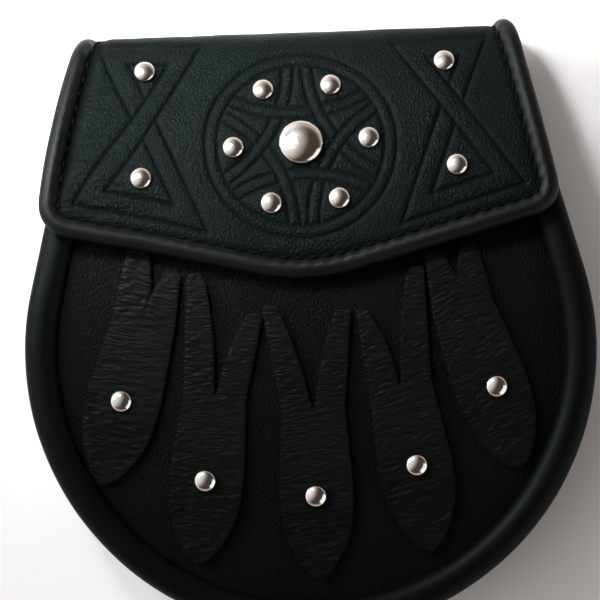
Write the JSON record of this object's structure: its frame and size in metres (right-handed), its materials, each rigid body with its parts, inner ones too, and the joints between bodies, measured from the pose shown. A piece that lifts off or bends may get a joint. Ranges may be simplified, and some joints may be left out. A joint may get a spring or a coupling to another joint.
{
  "type": "sporran pouch",
  "caption": "Round-bottomed black leather day sporran with rolled edges, a tooled and studded flap closed by a press stud, and riveted leather leaves on the front.",
  "frame": {"origin": "middle of the pouch's box in X and Y, on the surface its back rim lies on", "axes": "+Z out of the front, +Y towards the folded top, +X to the right seen from the front"},
  "size_m": [0.1898, 0.2025, 0.0464],
  "materials": {
    "panel_leather": "fine-grained black leather, satin",
    "rolled_leather": "smooth black leather rolled over a cord, soft sheen",
    "wrinkled_leather": "black leather with close cross wrinkles, satin",
    "nickel": "polished nickel plate"
  },
  "bodies": {
    "root": {"front_panel": "panel_leather", "back_panel": "panel_leather", "gusset": "panel_leather", "front_rim": "rolled_leather", "back_rim": "rolled_leather", "flap": "panel_leather", "flap_binding": "rolled_leather", "leaf_1": "wrinkled_leather", "leaf_2": "wrinkled_leather", "leaf_3": "wrinkled_leather", "leaf_4": "wrinkled_leather", "leaf_5": "wrinkled_leather", "rivet_ring_1": "nickel", "rivet_ring_2": "nickel", "rivet_ring_3": "nickel", "rivet_ring_4": "nickel", "rivet_ring_5": "nickel", "rivet_ring_6": "nickel", "rivet_corner_1": "nickel", "rivet_corner_2": "nickel", "rivet_corner_3": "nickel", "rivet_corner_4": "nickel", "rivet_leaf_1": "nickel", "rivet_leaf_2": "nickel", "rivet_leaf_3": "nickel", "rivet_leaf_4": "nickel", "rivet_leaf_5": "nickel", "snap_cap": "nickel", "snap_post": "nickel", "belt_loop_left": "panel_leather", "belt_loop_right": "panel_leather"}
  },
  "joints": []
}
